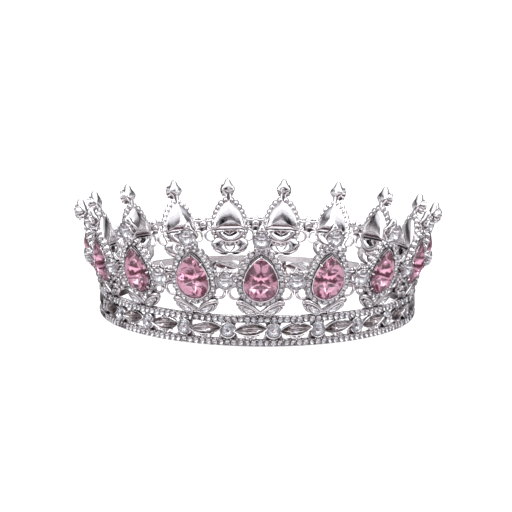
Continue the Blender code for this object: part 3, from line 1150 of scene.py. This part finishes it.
def build_band():
    """The band's casting and its stones, and the two chains on its rails."""
    seats, rounds, marquises = band_parts()
    rails = [rail(0), rail(BAND_TOP - RAIL_HEIGHT)]
    casting = make_mesh("band_casting", [(rails + seats, SILVER, True)])
    add_piece("band_casting", casting, ["band"], BAND_TURNED)
    rows = (("band_round_gems", rounds, CLEAR_FOIL), ("band_marquise_gems", marquises, SMOKE_FOIL))
    for name, stones, back in rows:
        add_piece(name, stone_mesh(name, stones, CLEAR, back), [], BAND_TURNED)
    for name, middle in (("lower", RAIL_HEIGHT / 2), ("upper", BAND_TOP - RAIL_HEIGHT / 2)):
        metal, stones = chain_parts(middle)
        cups = make_mesh(name + "_chain_cups", [(metal, SILVER, True)])
        gems = stone_mesh(name + "_chain_gems", stones, CLEAR, CLEAR_FOIL)
        chain = [name + "_rhinestone_chain"]
        add_piece(name + "_chain_cups", cups, chain, BAND_TURNED)
        add_piece(name + "_chain_gems", gems, [], BAND_TURNED)


# ---------------------------------------------------------------- studio


def add_camera():
    camera = bpy.data.objects.new("camera", bpy.data.cameras.new("camera"))
    bpy.context.scene.collection.objects.link(camera)
    camera.data.lens = LENS
    camera.data.sensor_width = SENSOR
    turn = Matrix.Rotation(CAMERA_TURN, 4, "Z")
    tip = Matrix.Rotation(math.pi / 2 - CAMERA_ELEVATION, 4, "X")
    roll = Matrix.Rotation(CAMERA_ROLL, 4, "Z")
    away = Matrix.Translation((0, 0, CAMERA_DISTANCE))
    camera.matrix_world = Matrix.Translation(LOOK_AT) @ turn @ tip @ roll @ away
    camera.data.clip_start, camera.data.clip_end = 0.01, 50
    bpy.context.scene.camera = camera


def add_softbox(name, place, size, watts):
    light = bpy.data.lights.new(name, "AREA")
    light.shape = "RECTANGLE"
    light.size, light.size_y = size
    light.energy = watts
    lamp = bpy.data.objects.new(name, light)
    bpy.context.scene.collection.objects.link(lamp)
    lamp.location = place
    lamp.rotation_euler = (LOOK_AT - Vector(place)).to_track_quat("-Z", "Y").to_euler()


def add_floor():
    """A pale floor that curves up into the walls of a light tent, out of the metal's sight."""
    rings = [raised(circle(r, 64), z) for r, z in FLOOR_PROFILE]
    points, faces = loft(rings, (0, 0, 0))
    floor_mesh = bpy.data.meshes.new("floor")
    floor_mesh.from_pydata(points.tolist(), [], faces[:-1])  # without the cap, so it is open above
    made, _, _, shader = new_material("pale_floor")
    shader.inputs["Base Color"].default_value = (0.5, 0.5, 0.5, 1)
    shader.inputs["Roughness"].default_value = 0.9
    shader.inputs["Specular IOR Level"].default_value = 0.0
    shader.inputs["Emission Color"].default_value = (1, 1, 1, 1)
    shader.inputs["Emission Strength"].default_value = FLOOR_GLOW
    floor_mesh.materials.append(made)
    floor = bpy.data.objects.new("floor", floor_mesh)
    bpy.context.scene.collection.objects.link(floor)
    floor.visible_glossy = False
    floor.visible_transmission = False
    floor.visible_diffuse = False
    floor.visible_shadow = False


def add_world():
    """A room for the metal to mirror: pale walls crossed by dark lines, over a dark, warm floor side.

    It is dimmer behind the crown, and has a dark doorway in front.
    """
    world = bpy.data.worlds.new("room")
    bpy.context.scene.world = world
    world.use_nodes = True
    nodes, links = world.node_tree.nodes, world.node_tree.links
    place = nodes.new("ShaderNodeTexCoord")
    split = nodes.new("ShaderNodeSeparateXYZ")
    links.new(place.outputs["Generated"], split.inputs["Vector"])
    shift = nodes.new("ShaderNodeMath")  # moves the tones up and down round the room
    shift.operation = "MULTIPLY_ADD"
    shift.inputs[1].default_value = 0.4
    links.new(noise(nodes, links, 1.9, 1.0, "Generated"), shift.inputs[0])
    links.new(split.outputs["Z"], shift.inputs[2])
    height = spread(nodes, links, shift.outputs["Value"], 0.0, 1.0, -0.8, 1.2)
    tones = nodes.new("ShaderNodeValToRGB")
    stops = (
        (0.0, (0.09, 0.06, 0.06)),
        (0.07, (0.10, 0.07, 0.07)),
        (0.11, (1.25, 1.2, 1.25)),
        (0.20, (1.4, 1.35, 1.4)),
        (0.23, (0.10, 0.05, 0.06)),
        (0.37, (0.10, 0.05, 0.06)),
        (0.39, (0.80, 0.76, 0.79)),
        (0.60, (0.92, 0.91, 0.94)),
        (0.64, (0.14, 0.12, 0.14)),
        (0.70, (0.14, 0.12, 0.14)),
        (0.74, (0.98, 0.98, 1.03)),
        (0.86, (1.05, 1.05, 1.1)),
        (0.90, (0.4, 0.4, 0.42)),
        (1.0, (0.85, 0.86, 0.9)),
    )
    band = tones.color_ramp
    while len(band.elements) < len(stops):
        band.elements.new(0.5)
    for element, (position, colour) in zip(band.elements, stops):
        element.position = position
        element.color = (*colour, 1)
    links.new(height, tones.inputs["Fac"])
    links.new(tones.outputs["Color"], nodes["Background"].inputs["Color"])
    behind = spread(nodes, links, split.outputs["Y"], 1.0, 0.26, -0.1, 0.5)
    toward = nodes.new("ShaderNodeVectorMath")
    toward.operation = "DOT_PRODUCT"
    toward.inputs[1].default_value = DOORWAY
    links.new(place.outputs["Generated"], toward.inputs[0])
    outer, inner = (math.cos(angle) for angle in DOORWAY_EDGE)
    doorway = spread(nodes, links, toward.outputs["Value"], 1.0, 0.05, outer, inner)
    strength = nodes.new("ShaderNodeMath")
    strength.operation = "MULTIPLY"
    links.new(behind, strength.inputs[0])
    links.new(doorway, strength.inputs[1])
    links.new(strength.outputs["Value"], nodes["Background"].inputs["Strength"])


def build_studio():
    add_camera()
    add_floor()
    add_world()
    for softbox in SOFTBOXES:
        add_softbox(*softbox)
    bpy.context.scene.view_settings.view_transform = "Standard"
    bpy.context.scene.cycles.glossy_bounces = 12  # light turns many times inside a foiled stone


build_studio()
build_panels()
build_band()
